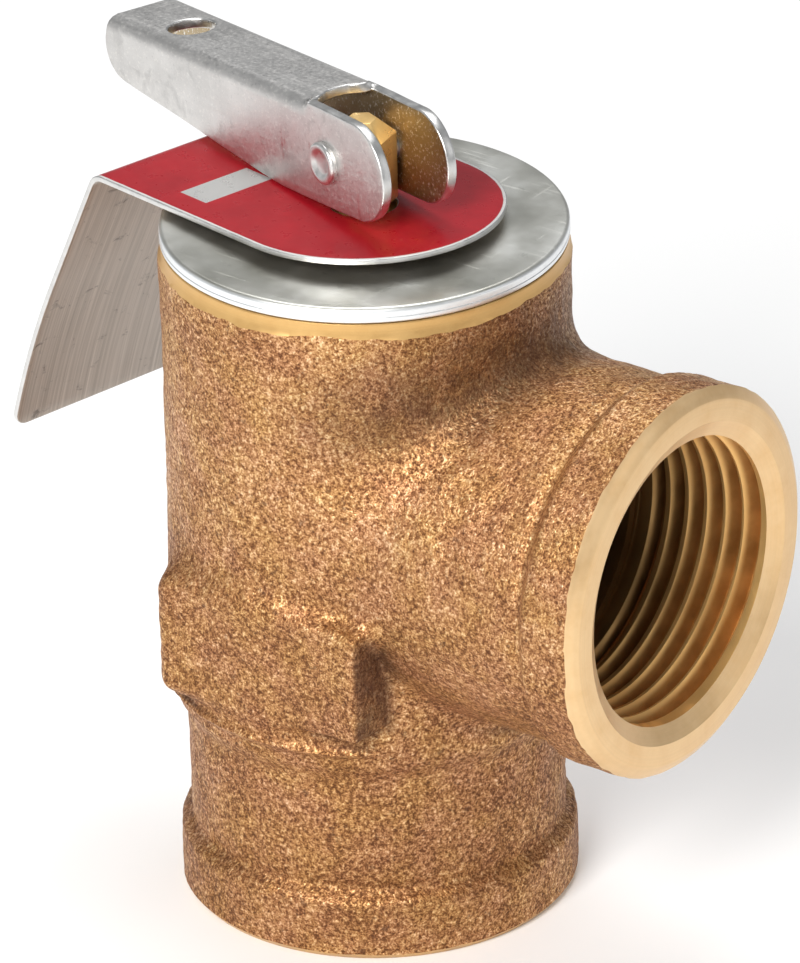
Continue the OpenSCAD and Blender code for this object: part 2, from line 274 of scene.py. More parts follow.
def casting(x, y, z):
    """Distance from the skin of the raw casting, before machining; negative inside."""
    # barrel: bead, neck, flare, a collar with a sharp lower lip, chamber
    big_r = BEAD_R - NECK_STEP * ease(z, 4.9, 6.1) - 0.14 * dip(z, 6.2, 0.45)
    big_r = big_r + FLARE_STEP * ease(z, 15.6, 18.4)
    collar = 0.25 * ease(z, 18.8, 19.5) * (1 - ease(z, 19.6, 25.5))
    collar = collar + 0.46 * dip(z, 19.2, 0.42) - 0.16 * dip(z, 18.2, 0.45)
    big_r = big_r + collar * (1 - ease(x, 8, 13))
    barrel = np.hypot(x, y) - big_r
    barrel = soft_max(barrel, -z - SPARE, 0.8)
    barrel = soft_max(barrel, z - (rim_z + 1.2), 0.5)
    # branch: plain tube, sloped back of the bead, bead
    tube_r = TUBE_R + 0.9 * ease(x, 25.2, 26.5) - 0.12 * dip(x, 25.1, 0.45)
    branch = np.hypot(y, z - outlet_z) - tube_r
    branch = soft_max(branch, x - (face_x + 0.4), 0.3)
    branch = np.maximum(branch, -x)
    # the fillet between them is tight below and wider above
    fillet = 1.3 + 1.5 * ease(z, 30, 38)
    skin = soft_min(barrel, branch, fillet)
    # marking pad: a flat-faced block, crisp at its +X end and worn at the other
    worn = 0.5 + 0.8 * ease(-x, -5, 5)
    lifted = z - 1.0 * ease(x, -2, 10) * (1 - ease(z, 22, 30))
    q = [np.abs(c - m) - h + worn for c, m, h in zip((x, y, lifted), PAD_MID, PAD_HALF)]
    outside = np.sqrt(sum(np.maximum(a, 0) ** 2 for a in q))
    within = np.minimum(np.maximum(np.maximum(q[0], q[1]), q[2]), 0)
    pad = outside + within - worn
    return soft_min(skin, pad, 0.3 + 0.9 * ease(-x, -9, 2) + 2.2 * ease(z, 28.5, 31.2))


def surface_net(field, low, step):
    """Quad mesh of the zero level of a sampled field, one vertex per crossed cell."""
    inside = field < 0
    shape = np.array(field.shape) - 1
    total = np.zeros(shape, np.int8)
    corners = [(i, j, k) for i in (0, 1) for j in (0, 1) for k in (0, 1)]

    def view(a, i, j, k):
        """One corner of every cell."""
        return a[i:i + shape[0], j:j + shape[1], k:k + shape[2]]

    for c in corners:
        total += view(inside, *c)
    active = (total > 0) & (total < 8)
    number = np.full(shape, -1, np.int64)
    number[active] = np.arange(active.sum())
    base = np.argwhere(active).astype(float)
    acc, hits = np.zeros_like(base), np.zeros(len(base))
    value = {c: view(field, *c)[active] for c in corners}
    for a in corners:
        for axis in range(3):
            if a[axis]:
                continue
            b = tuple(v + (n == axis) for n, v in enumerate(a))
            fa, fb = value[a], value[b]
            crossed = (fa < 0) != (fb < 0)
            t = np.where(crossed, fa / np.where(crossed, fa - fb, 1), 0)
            point = np.array(a, float)[None] + t[:, None] * np.eye(3)[axis]
            acc += point * crossed[:, None]
            hits += crossed
    verts = (base + acc / hits[:, None]) * step + low
    quads = []
    for axis in range(3):
        u, v = (axis + 1) % 3, (axis + 2) % 3
        ahead = np.roll(inside, -1, axis)
        change = inside != ahead
        sl = [slice(1, -1)] * 3
        mask = np.zeros_like(change)
        mask[tuple(sl)] = change[tuple(sl)]
        at = np.argwhere(mask)
        first = inside[mask]
        du, dv = np.eye(3, dtype=int)[u], np.eye(3, dtype=int)[v]
        ring = [at - du - dv, at - dv, at, at - du]
        ids = np.stack([number[tuple(r.T)] for r in ring], 1)
        ids[~first] = ids[~first][:, ::-1]
        quads.append(ids)
    return verts, np.concatenate(quads)


def casting_mesh(step):
    """The raw casting's skin as a closed quad mesh with a slightly uneven surface.

    Returns vertices, faces and each vertex's relief: 0 on open skin, up to 1 in creases and down to -1
    along edges."""
    reach = 18.2
    low = np.array([-reach, -reach, -1.0])
    high = np.array([face_x + 1.2, reach, rim_z + 2.0])
    axes = [np.arange(a, b, step) for a, b in zip(low, high)]
    grid = np.meshgrid(*axes, indexing="ij")
    verts, quads = surface_net(casting(*grid), low, step)
    nudge = 0.02
    for _ in range(3):
        f = casting(*verts.T)
        grad = np.stack([(casting(*(verts + nudge * e).T) - casting(*(verts - nudge * e).T)) / (2 * nudge)
                         for e in np.eye(3)], 1)
        verts = verts - (f / np.maximum((grad ** 2).sum(1), 0.2))[:, None] * grad
    normal = grad / np.linalg.norm(grad, axis=1)[:, None]
    crease = sum(np.clip(1 - casting(*(verts + normal * h).T) / h, 0, 1) for h in (0.8, 2.0, 4.0)) / 3
    edge = sum(np.clip(1 + casting(*(verts - normal * h).T) / h, 0, 1) for h in (0.5, 1.0)) / 2
    rough = sum(a * lattice_noise(verts, s, seed)
                for s, a, seed in ((7.0, 0.09, 11), (3.1, 0.06, 23), (1.5, 0.05, 37), (0.8, 0.05, 51)))
    return verts + normal * rough[:, None], quads, crease - edge


# ---------------------------------------------------------------- pipe thread

PITCH = 25.4 / 14
TAPER = 1 / 32
RUNOUT = 2.5           # stretch over which the groove fades out at its deep end


def thread_tool(mouth, length, sides=192):
    """Solid core of a tapered pipe thread along +Z: its mouth at z = mouth, cut `length` deep below it.

    Its ends are left open; cut() closes them."""
    root_mouth, flat, tan30 = 13.26, 0.16, math.tan(math.radians(30))
    z_low, z_high = mouth - length, mouth + 1.0

    def root_at(z):
        root = root_mouth - np.clip(mouth - z, 0, None) * TAPER
        fade = ease(z, z_low, z_low + RUNOUT)
        return port_r + (root - port_r) * fade * (1 - ease(z, mouth - 1.5, mouth - 0.75))

    theta = np.linspace(0, 1, sides + 1)
    columns = []
    for k in range(-1, int(math.ceil((z_high - z_low) / PITCH)) + 2):
        centre = z_low + (k + theta) * PITCH
        edge = flat / 2 + (root_at(centre) - port_r) * tan30
        half_flank = (edge + flat / 2) / 2
        for s in (-PITCH / 2, -edge, -half_flank, -flat / 2, flat / 2, half_flank, edge):
            z = np.clip(centre + s, z_low, z_high)
            turn = (z - z_low) / PITCH - theta
            off = np.abs(turn - np.round(turn)) * PITCH
            r = np.maximum(port_r, root_at(z) - np.maximum(off - flat / 2, 0) / tan30)
            columns.append(np.stack([r * np.cos(theta * TAU), r * np.sin(theta * TAU), z], 1))
    grid = np.stack(columns, 1)
    return grid.reshape(-1, 3), grid_faces(*grid.shape[:2])


def to_outlet(verts):
    """Turns a tool along +Z onto the outlet's axis."""
    return np.stack([verts[:, 2], verts[:, 1], outlet_z - verts[:, 0]], 1)


def to_inlet(verts):
    """Turns a tool along +Z upside down, onto the inlet's axis."""
    return verts * np.array([1, -1, -1])


def to_pin(verts):
    """Turns a solid along +Z onto the lever pin's axis, local Y."""
    return np.stack([verts[:, 0], verts[:, 2], -verts[:, 1]], 1)


# ---------------------------------------------------------------- materials

class Finish:
    """A material with small helpers for its node graph; plain values are set on the shader itself."""

    def __init__(self, name, **values):
        self.material = bpy.data.materials.new(name)
        self.material.use_nodes = True
        self.tree = self.material.node_tree
        self.shader = next(n for n in self.tree.nodes if n.type == "BSDF_PRINCIPLED")
        for key, value in values.items():
            self.shader.inputs[key.replace("_", " ")].default_value = value
        self.coords = self.tree.nodes.new("ShaderNodeTexCoord").outputs["Object"]

    def node(self, kind, inputs=None, **props):
        n = self.tree.nodes.new("ShaderNode" + kind)
        for key, value in props.items():
            setattr(n, key, value)
        for key, value in (inputs or {}).items():
            self.put(n.inputs[key], value)
        return n

    def put(self, socket, value):
        if isinstance(value, bpy.types.NodeSocket):
            self.tree.links.new(value, socket)
        else:
            socket.default_value = value

    def scaled(self, stretch=(1, 1, 1), turn=(0, 0, 0)):
        return self.node("Mapping", {"Vector": self.coords, "Scale": stretch,
                                     "Rotation": [math.radians(a) for a in turn]}).outputs[0]

    def noise(self, size, detail=3, rough=0.6, coords=None, distortion=0.0):
        """Noise with features of about `size` millimetres, 0 to 1."""
        n = self.node("TexNoise", {"Vector": coords or self.coords, "Scale": 1 / (size * MM),
                                   "Detail": detail, "Roughness": rough, "Distortion": distortion})
        return n.outputs["Fac"]

    def math(self, op, *values):
        return self.node("Math", dict(enumerate(values)), operation=op).outputs[0]

    def plus(self, a, b):
        return self.math("ADD", a, b)

    def less(self, a, b):
        return self.math("SUBTRACT", a, b)

    def times(self, first, *others):
        """Product of two or more values."""
        for value in others:
            first = self.math("MULTIPLY", first, value)
        return first

    def hypot(self, a, b):
        return self.math("SQRT", self.plus(self.times(a, a), self.times(b, b)))

    def fit(self, value, a, b, c=0.0, d=1.0):
        """Maps a..b smoothly onto c..d."""
        n = self.node("MapRange", {"Value": value, "From Min": a, "From Max": b, "To Min": c, "To Max": d},
                      interpolation_type="SMOOTHSTEP")
        return n.outputs[0]

    def fit_mm(self, value, a, b, c=0.0, d=1.0):
        """Maps a..b millimetres of a length in metres smoothly onto c..d."""
        return self.fit(value, a * MM, b * MM, c, d)

    def ramp(self, value, *stops):
        n = self.node("ValToRGB", {"Fac": value})
        items = n.color_ramp.elements
        while len(items) < len(stops):
            items.new(0.5)
        for item, (place, colour) in zip(items, stops):
            item.position = place
            item.color = (*colour, 1)
        return n.outputs["Color"]

    def mix(self, fac, a, b, blend="MIX"):
        n = self.node("Mix", data_type="RGBA", blend_type=blend)
        for socket, value in ((n.inputs[0], fac), (n.inputs[6], a), (n.inputs[7], b)):
            if isinstance(value, tuple) and len(value) == 3:
                value = (*value, 1)
            self.put(socket, value)
        return n.outputs[2]

    def radius(self, axis, height=0.0):
        """Distance in metres from the Z axis, or from the X axis raised to a height in millimetres."""
        away = self.axis("X") if axis == "Z" else self.less(self.axis("Z"), height * MM)
        return self.hypot(away, self.axis("Y"))

    def lines(self, value, size):
        """Fine parallel lines about `size` millimetres wide along a coordinate in metres."""
        n = self.node("TexNoise", {"W": value, "Scale": 1 / (size * MM), "Detail": 3}, noise_dimensions="1D")
        return n.outputs["Fac"]

    def axis(self, name):
        return self.node("SeparateXYZ", {"Vector": self.coords}).outputs[name]

    def bump(self, height, strength, distance, under=None):
        values = {"Height": height, "Strength": strength, "Distance": distance * MM}
        if under is not None:
            values["Normal"] = under
        return self.node("Bump", values).outputs[0]

    def set(self, key, value):
        self.put(self.shader.inputs[key], value)


def crotch_shade_mask(f):
    """Where painted shade goes: the corner above the branch, where it meets the chamber."""
    from_branch = f.less(f.radius("X", outlet_z), TUBE_R * MM)
    from_barrel = f.less(f.radius("Z"), BARREL_R * MM)
    near = f.times(f.fit_mm(from_branch, 2, 11, 1, 0), f.fit_mm(from_barrel, 0.5, 5, 1, 0))
    return f.times(near, f.fit_mm(f.axis("Z"), 43, 50), f.fit_mm(f.axis("X"), 1, 8))


def pad_end_shade_mask(f):
    """Where painted shade goes: the marking pad's +X end face, turned from the light, and the foot of it."""
    x = f.axis("X")
    from_middle = f.math("ABSOLUTE", f.less(f.axis("Z"), PAD_MID[2] * MM))
    return f.times(f.fit_mm(x, PAD_END - 0.45, PAD_END - 0.05),
                   f.fit_mm(x, PAD_END + 0.1, PAD_END + 1.0, 1, 0),
                   f.fit_mm(f.axis("Y"), -13.0, -11.5, 1, 0), f.fit_mm(from_middle, 4.4, 5.4, 1, 0))


def cast_bronze():
    """Shot-blasted sand casting: golden high spots and edges, brown pits; dark patina and painted shade in its
    creases, painted shade above the branch and on the marking pad's end face, and slightly darker lower down as
    painted shade.
    """
    f = Finish("cast bronze", Metallic=0.8, IOR=1.5)
    grain = f.noise(0.37, 2, 0.6)
    fine = f.noise(0.17, 2, 0.6)
    patch = f.noise(5.0, 3, 0.6)
    relief = f.node("Attribute", attribute_name=RELIEF).outputs["Fac"]
    level = f.plus(f.times(grain, 0.5), f.times(fine, 0.5))
    level = f.plus(level, f.times(f.less(patch, 0.5), 0.15))
    # slightly darker below z 40 and lighter above: painted shade
    level = f.plus(level, f.fit_mm(f.axis("Z"), 26, 40, -0.022, 0.004))
    level = f.plus(level, f.fit(relief, -0.06, -0.40, 0, 0.05))
    colour = f.ramp(level, (0.37, (0.150, 0.058, 0.022)), (0.44, (0.29, 0.130, 0.050)),
                    (0.50, (0.45, 0.225, 0.092)), (0.57, (0.64, 0.365, 0.165)), (0.65, (0.94, 0.66, 0.38)))
    # painted shade over the crotch and the pad's end face, broken into blotches
    blotch = f.fit(f.noise(2.5, 3, 0.6), 0.3, 0.6, 0.4, 0.75)
    corner = f.times(f.math("MAXIMUM", crotch_shade_mask(f), pad_end_shade_mask(f)), blotch)
    # dark patina with painted shade in the creases, where relief is above 0, together with the painted corner
    # shade
    oxide_and_shade = f.math("MAXIMUM", corner, f.fit(relief, 0.10, 0.50, 0, 0.70))
    tint = f.ramp(f.noise(4.0, 3, 0.65), (0.36, (1.0, 1.0, 0.88)), (0.64, (0.97, 0.92, 1.0)))
    pits = f.fit(f.noise(0.8, 3, 0.7), 0.60, 0.70, 0, 0.6)
    colour = f.mix(1.0, f.mix(pits, colour, (0.11, 0.05, 0.028)), tint, "MULTIPLY")
    f.set("Base Color", f.mix(oxide_and_shade, colour, (0.10, 0.045, 0.024)))
    f.set("Roughness", f.fit(level, 0.40, 0.62, 0.62, 0.38))
    coarse = f.bump(grain, 0.8, 0.12)
    f.set("Normal", f.bump(fine, 0.9, 0.08, coarse))
    return f.material


def cut_bronze(name, colour, roughness, axis, height=0.0):
    """Machined bronze or brass: satin, faint tool marks round the axis it was turned on, light smudges."""
    f = Finish(name, Metallic=0.6)
    smudge = f.noise(3.0, 4, 0.65)
    rings = f.lines(f.plus(f.radius(axis, height), f.axis(axis)), 0.22)
    stained = (colour[0] * 0.90, colour[1] * 0.83, colour[2] * 0.74)
    tone = f.ramp(smudge, (0.28, stained), (0.62, colour))
    f.set("Base Color", f.mix(f.fit(rings, 0.35, 0.65, 0, 0.12), tone, tuple(c * 0.7 for c in colour)))
    f.set("Roughness", f.fit(smudge, 0.3, 0.7, roughness - 0.04, roughness + 0.10))
    f.set("Normal", f.bump(f.noise(0.5, 3, 0.6), 0.12, 0.03, f.bump(rings, 0.22, 0.02)))
    return f.material


def oxidised_and_shaded_bore(name, axis, height=0.0):
    """Thread and chamber walls: bright only along the crests, brown in the grooves, and darker deeper in as
    painted shade.
    """
    f = Finish(name, Metallic=0.7)
    depth = f.less(face_x * MM, f.axis("X")) if axis == "X" else f.axis("Z")
    stain = f.noise(2.2, 4, 0.6)
    crest = f.fit_mm(f.radius(axis, height), port_r + 0.05, port_r + 0.55, 1, 0)
    # the crests' brightness fades deeper in: painted shade
    crest = f.times(crest, f.fit_mm(depth, 9, 15, 1, 0))
    groove = f.ramp(stain, (0.25, (0.48, 0.235, 0.065)), (0.75, (0.68, 0.365, 0.115)))
    tone = f.mix(crest, groove, (1.0, 0.62, 0.23))
    # painted shade: nearly black deeper into the bore
    f.set("Base Color", f.mix(f.fit_mm(depth, 6, 16, 0.0, 0.9), tone, (0.030, 0.014, 0.006)))
    f.set("Roughness", f.fit(stain, 0.3, 0.7, 0.30, 0.45))
    f.set("Normal", f.bump(f.noise(0.4, 3, 0.6), 0.2, 0.03))
    return f.material


def cap_metal():
    """Plated cap: greenish grey, turned on a lathe, smudged and finely scratched; the rim painted bluish-bright as
    a painted reflection.
    """
    f = Finish("cap plating", Metallic=0.95)
    top = f.fit_mm(f.axis("Z"), cap_high[2] - 0.25, cap_high[2] - 0.06)
    cloud = f.noise(7.0, 3, 0.55)
    haze = f.noise(0.9, 5, 0.7)
    rub = f.noise(2.4, 5, 0.7, distortion=0.5)
    tone = f.ramp(cloud, (0.32, (0.49, 0.485, 0.43)), (0.50, (0.60, 0.595, 0.545)),
                  (0.66, (0.76, 0.76, 0.72)))
    tone = f.mix(f.fit(rub, 0.56, 0.72, 0, 0.45), tone, (0.37, 0.375, 0.335))
    tone = f.mix(f.fit(haze, 0.60, 0.74, 0, 0.5), tone, (0.70, 0.71, 0.68))
    # below the top face the rim is painted bluish-white, brighter than the top: a painted reflection
    f.set("Base Color", f.mix(top, (0.86, 0.88, 0.89), tone))
    scratch = f.noise(0.5, 3, 0.6, f.scaled((0.06, 1.2, 1), (0, 0, 37)))
    nick = f.noise(0.35, 3, 0.6, f.scaled((0.9, 0.05, 1), (0, 0, -18)))
    marks = f.math("MAXIMUM", f.fit(scratch, 0.58, 0.68), f.fit(nick, 0.64, 0.72))
    f.set("Roughness", f.plus(f.fit(cloud, 0.3, 0.7, 0.32, 0.42), f.times(marks, 0.12)))
    f.set("Normal", f.bump(marks, 0.16, 0.02, f.bump(haze, 0.14, 0.04)))
    return f.material


def plated_steel(name, shade, warm, roughness, sparkle):
    """Lever sheet: satin plating with a fine pressed speckle, drawing lines and light scratches."""
    f = Finish(name, Metallic=1.0)
    speck = f.noise(0.3, 3, 0.7)
    cloud = f.noise(4.0, 4, 0.6)
    lines = f.noise(0.5, 2, 0.5, f.scaled((0.05, 1, 1)))
    scratch = f.noise(0.3, 3, 0.6, f.scaled((0.9, 0.9, 0.05), (0, 24, 0)))

    def tint(k):
        return tuple(shade * k * c for c in warm)

    tone = f.ramp(cloud, (0.30, tint(0.84)), (0.65, tint(1.0)))
    smudge = f.fit(f.noise(2.6, 4, 0.65, distortion=0.4), 0.54, 0.70, 0, 0.5)
    tone = f.mix(smudge, tone, tint(0.66))
    tone = f.mix(f.fit(speck, 0.55, 0.66, 0, sparkle), tone, (0.92, 0.90, 0.86))
    f.set("Base Color", f.mix(f.fit(speck, 0.40, 0.28, 0, 0.5), tone, tint(0.6)))
    wear = f.fit(speck, 0.3, 0.7, roughness, roughness + 0.12)
    wear = f.plus(wear, f.fit(lines, 0.45, 0.7, 0, 0.06))
    f.set("Roughness", f.plus(wear, f.fit(scratch, 0.60, 0.68, 0, -0.10)))
    f.set("Normal", f.bump(lines, 0.08, 0.02, f.bump(speck, 0.35 + 0.4 * sparkle, 0.04)))
    return f.material


def plain_steel(name, colour, roughness):
    """Bright or zinc-plated steel with slight staining."""
    f = Finish(name, Metallic=1.0)
    cloud = f.noise(1.2, 4, 0.65)
    f.set("Base Color", f.ramp(cloud, (0.3, tuple(c * 0.8 for c in colour)), (0.65, colour)))
    f.set("Roughness", f.fit(cloud, 0.3, 0.7, roughness - 0.06, roughness + 0.08))
    f.set("Normal", f.bump(f.noise(0.4, 2, 0.5), 0.12, 0.02))
    return f.material


def plain_matt(name, colour, roughness):
    """Rubber or fibre: matt, faintly mottled."""
    f = Finish(name, Metallic=0.0)
    cloud = f.noise(0.8, 4, 0.65)
    f.set("Base Color", f.ramp(cloud, (0.3, tuple(c * 0.7 for c in colour)), (0.7, colour)))
    f.set("Roughness", f.fit(cloud, 0.3, 0.7, roughness - 0.08, roughness + 0.06))
    f.set("Normal", f.bump(f.noise(0.3, 2, 0.5), 0.2, 0.03))
    return f.material


def bare_plate():
    """Unprinted back of the nameplate: aluminium brushed along the flap, with dark scuffs."""
    f = Finish("brushed aluminium", Metallic=1.0)
    brush = f.noise(0.7, 5, 0.65, f.scaled((0.03, 3.2, 0.03)))
    scuff = f.noise(2.0, 5, 0.7, f.scaled((1, 1, 1.3)), distortion=0.6)
    cloud = f.noise(8.0, 3, 0.6)
    tone = f.ramp(brush, (0.30, (0.385, 0.335, 0.285)), (0.50, (0.535, 0.475, 0.42)),
                  (0.72, (0.72, 0.66, 0.60)))
    tone = f.mix(f.fit(cloud, 0.35, 0.7, 0, 0.25), tone, (0.64, 0.58, 0.52))
    f.set("Base Color", f.mix(f.fit(scuff, 0.60, 0.72, 0, 0.65), tone, (0.13, 0.11, 0.10)))
    f.set("Roughness", f.fit(brush, 0.3, 0.7, 0.34, 0.48))
    f.set("Normal", f.bump(brush, 0.16, 0.03))
    return f.material


def printed_plate():
    """Glossy red print with a bare silver border and one blank pale field."""
    f = Finish("red print", IOR=1.5, Specular_IOR_Level=0.3, Coat_Weight=0.08, Coat_Roughness=0.2)
    x, y, z = (f.axis(a) for a in "XYZ")
    side = f.less(PLATE_R * MM, f.math("ABSOLUTE", y))
    past = f.math("MINIMUM", x, 0.0)
    ring = f.less(PLATE_R * MM, f.hypot(past, y))
    low = f.less(z, FLAP_END_Z * MM)
    edge = f.math("MINIMUM", f.math("MINIMUM", side, ring), low)
    wobble = f.times(f.less(f.noise(1.2, 3, 0.6), 0.5), 0.10 * MM)
    edge = f.plus(edge, wobble)
    border = f.fit_mm(edge, 0.26, 0.34, 1, 0)

    def between(v, a, b):
        return f.times(f.fit_mm(v, a - 0.04, a + 0.04), f.fit_mm(v, b - 0.04, b + 0.04, 1, 0))

    field = f.times(between(x, *FIELD_X), between(y, *FIELD_Y))
    bare = f.math("MAXIMUM", border, field)
    tone = f.ramp(f.noise(5.0, 4, 0.6), (0.3, (0.30, 0.005, 0.012)), (0.7, (0.41, 0.009, 0.018)))
    silver = f.mix(border, (0.60, 0.60, 0.59), (0.80, 0.79, 0.77))
    chip = f.fit(f.noise(0.7, 4, 0.75), 0.74, 0.78, 0, 0.7)
    chip = f.times(chip, f.fit_mm(edge, 0.4, 1.6, 1, 0.15))
    f.set("Base Color", f.mix(chip, f.mix(bare, tone, silver), (0.7, 0.68, 0.66)))
    f.set("Metallic", f.times(bare, 0.45))
    f.set("Roughness", f.fit(f.noise(1.5, 4, 0.6), 0.3, 0.7, 0.26, 0.38))
    f.set("Normal", f.bump(f.noise(2.5, 3, 0.5), 0.06, 0.06, f.bump(bare, -0.35, 0.02)))
    return f.material


# nameplate sizes, in its own frame: X to the fold, Y across, Z up
PLATE_R = 11.35
PLATE_T = 0.45
FOLD_X, FOLD_R, FOLD_TURN = 19.0, 1.2, 62.0
FLAP_STRAIGHT, FLAP_CURVED, FLAP_TURN = 12.0, 15.5, 11.0
FIELD_X, FIELD_Y = (8.95, 12.1), (1.9, 8.8)


def plate_line(x):
    """X and Z of the bent nameplate's middle line at developed length x."""
    mid = FOLD_R + PLATE_T / 2
    fold_len = math.radians(FOLD_TURN) * mid
    x = np.asarray(x, float)
    turn = np.radians(FOLD_TURN) * np.clip((x - FOLD_X) / fold_len, 0, 1)
    px = np.minimum(x, FOLD_X) + mid * np.sin(turn)
    pz = -PLATE_T / 2 - mid * (1 - np.cos(turn))
    rest = np.clip(x - FOLD_X - fold_len, 0, FLAP_STRAIGHT)
    px, pz = px + rest * np.cos(turn), pz - rest * np.sin(turn)
    big = FLAP_CURVED / math.radians(FLAP_TURN)
    more = np.clip(x - FOLD_X - fold_len - FLAP_STRAIGHT, 0, None) / big
    px = px + big * (np.sin(turn + more) - np.sin(turn))
    pz = pz + big * (np.cos(turn + more) - np.cos(turn))
    return px, pz


PLATE_LEN = FOLD_X + math.radians(FOLD_TURN) * (FOLD_R + PLATE_T / 2) + FLAP_STRAIGHT + FLAP_CURVED
FLAP_END_Z = float(plate_line(PLATE_LEN)[1])
STEM_HOLE_R = 2.7


# ---------------------------------------------------------------- bent sheet

def resample(points, step):
    """Points along a closed polyline at about the given spacing, corners kept."""
    pts = [np.asarray(p, float) for p in points]
    out = []
    for a, b in zip(pts, pts[1:] + pts[:1]):
        n = max(1, int(round(np.linalg.norm(b - a) / step)))
        out.extend(a + (b - a) * k / n for k in range(n))
    return np.array(out)


def inside_loop(p, loop):
    """Which points lie inside a closed loop."""
    hit = np.zeros(len(p), bool)
    for a, b in zip(loop, np.roll(loop, -1, 0)):
        if a[1] == b[1]:
            continue
        over = (a[1] > p[:, 1]) != (b[1] > p[:, 1])
        hit ^= over & (p[:, 0] < (b[0] - a[0]) * (p[:, 1] - a[1]) / (b[1] - a[1]) + a[0])
    return hit


def inset(loop, by):
    """A loop moved inwards (to its left for an anticlockwise loop) by a small distance."""
    ahead = np.roll(loop, -1, 0) - loop
    ahead /= np.linalg.norm(ahead, axis=1)[:, None]
    mean = ahead + np.roll(ahead, 1, 0)
    mean /= np.maximum(np.linalg.norm(mean, axis=1), 1e-6)[:, None]
    return loop + by * np.stack([-mean[:, 1], mean[:, 0]], 1)


def area(loop):
    """Signed area, above 0 for an anticlockwise loop."""
    x, y = loop.T
    return 0.5 * np.sum(x * np.roll(y, -1) - y * np.roll(x, -1))


LEAST_AREA = 1e-3      # twice the area of the smallest triangle kept


def sheet_mesh(outline, holes, grid, bend, thick, round_edge, edge_step):
    """A thick sheet with eased edges: its flat pattern and holes are carried through bend(u, v).

    The pattern is filled with points of the grid and with triangles between them.
    Returns vertices, faces and, for each face, 0 on the outer side, 1 on the inner side, 2 on the rim."""
    loops = []
    for n, points in enumerate([outline, *holes]):
        loop = resample(points, edge_step)
        anticlockwise = area(loop) > 0
        loops.append(loop if anticlockwise == (n == 0) else loop[::-1])
    insets = [inset(l, round_edge) for l in loops]
    border = np.concatenate(insets)
    inner = np.array([(u, v) for u in grid[0] for v in grid[1]])
    keep = inside_loop(inner, loops[0])
    for h in loops[1:]:
        keep &= ~inside_loop(inner, h)
    near = np.min(np.linalg.norm(inner[:, None] - border[None], axis=2), axis=1)
    inner = inner[keep & (near > edge_step * 0.7)]
    edges, start = [], 0
    for loop in loops:
        edges += [(start + k, start + (k + 1) % len(loop)) for k in range(len(loop))]
        start += len(loop)
    flat_in = np.concatenate([border, inner])
    verts, _, tris, *_ = delaunay_2d_cdt([Vector(p) for p in flat_in], edges, [], 0, 1e-9)
    flat = np.array([tuple(v) for v in verts])
    assert len(flat) == len(flat_in) and np.allclose(flat, flat_in, atol=1e-4)
    tris = np.array(tris)
    mid = flat[tris].mean(1)
    good = inside_loop(mid, insets[0])
    for h in insets[1:]:
        good &= ~inside_loop(mid, h)
    # three points in line along a straight edge make no face
    side, other = flat[tris[:, 1]] - flat[tris[:, 0]], flat[tris[:, 2]] - flat[tris[:, 0]]
    good &= np.abs(side[:, 0] * other[:, 1] - side[:, 1] * other[:, 0]) > LEAST_AREA
    tris = tris[good]

    def lift(uv, w):
        """Bent points, moved a distance w off the middle of the sheet."""
        e = 1e-3
        du = bend(uv[:, 0] + e, uv[:, 1]) - bend(uv[:, 0] - e, uv[:, 1])
        dv = bend(uv[:, 0], uv[:, 1] + e) - bend(uv[:, 0], uv[:, 1] - e)
        normal = np.cross(du, dv)
        normal /= np.linalg.norm(normal, axis=1)[:, None]
        return bend(uv[:, 0], uv[:, 1]) + normal * w

    half, steps = thick / 2, 3
    layers = [lift(flat, half), lift(flat, -half)]
    count = len(flat)
    faces = [tuple(t) for t in tris] + [tuple(t[::-1] + count) for t in tris]
    kinds = [0] * len(tris) + [1] * len(tris)
    ease_ring = [(round_edge * (1 - math.sin(a)), half - round_edge * (1 - math.cos(a)))
                 for a in np.radians(np.linspace(0, 90, steps + 1))[1:]]
    rings = ease_ring + [(d, -w) for d, w in ease_ring[::-1]]
    start, total = 0, 2 * count
    for loop in loops:
        n = len(loop)
        above = np.arange(start, start + n)
        for d, w in rings:
            layers.append(lift(inset(loop, d), w))
            below = np.arange(total, total + n)
            total += n
            faces += [(above[(k + 1) % n], above[k], below[k], below[(k + 1) % n]) for k in range(n)]
            above = below
        below = np.arange(count + start, count + start + n)
        faces += [(above[(k + 1) % n], above[k], below[k], below[(k + 1) % n]) for k in range(n)]
        kinds += [2] * (n * (len(rings) + 1))
        start += n
    return np.concatenate(layers), faces, kinds


def circle(cx, cy, r, n):
    """Points round a whole circle."""
    return [(cx + r * math.cos(TAU * k / n), cy + r * math.sin(TAU * k / n)) for k in range(n)]


# ---------------------------------------------------------------- pieces

FINE = 256             # sides of the large turned shapes


def framed(height, *turns):
    """A local frame on the stem's axis: turns are (axis, degrees) from the outermost in."""
    m = Matrix.Translation((0, 0, height * MM))
    for axis, degrees in turns:
        m = m @ Matrix.Rotation(math.radians(degrees), 4, axis)
    return m


nut_frame = framed(pin_z, ("Z", LEVER_SWIVEL))
lever_frame = framed(pin_z, ("Z", LEVER_SWIVEL), ("Y", LEVER_DROOP))
plate_frame = framed(PLATE_Z, ("Z", PLATE_TURN[2]), ("Y", PLATE_TURN[1]), ("X", PLATE_TURN[0]))


